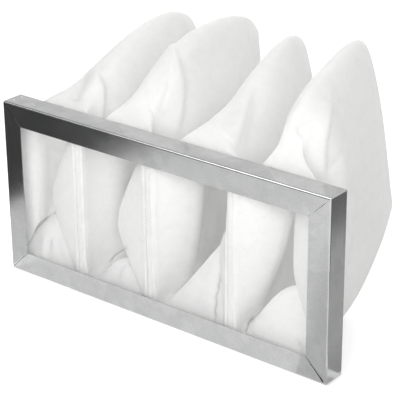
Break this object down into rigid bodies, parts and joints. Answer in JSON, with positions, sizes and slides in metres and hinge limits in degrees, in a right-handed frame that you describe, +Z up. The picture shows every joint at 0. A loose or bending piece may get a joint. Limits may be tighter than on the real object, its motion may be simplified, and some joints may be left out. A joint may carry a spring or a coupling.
{
  "type": "bag air filter",
  "caption": "Bag air filter: a shallow galvanised header holds the mouths of sewn white nonwoven pockets that have settled and swell out behind it.",
  "frame": {"origin": "under the middle of the header, on the outside of its bottom web, which the filter stands on; half way between the header's front and rear faces", "axes": "+X along the header's width, +Y from the air intake back to the pockets' rear edges, +Z up"},
  "size_m": [0.38, 0.22, 0.2601],
  "materials": {
    "sheet": "galvanised strip steel, satin, with soft reflections",
    "wire": "galvanised wire, dull",
    "media": "off-white needled nonwoven, matt"
  },
  "bodies": {
    "root": {"header_frame": "sheet", "retaining_wire": "wire", "pocket_1": "media", "pocket_2": "media", "pocket_3": "media", "pocket_4": "media", "divider_rod_1": "wire", "divider_binding_1": "media", "divider_rod_2": "wire", "divider_binding_2": "media", "divider_rod_3": "wire", "divider_binding_3": "media"}
  },
  "joints": []
}
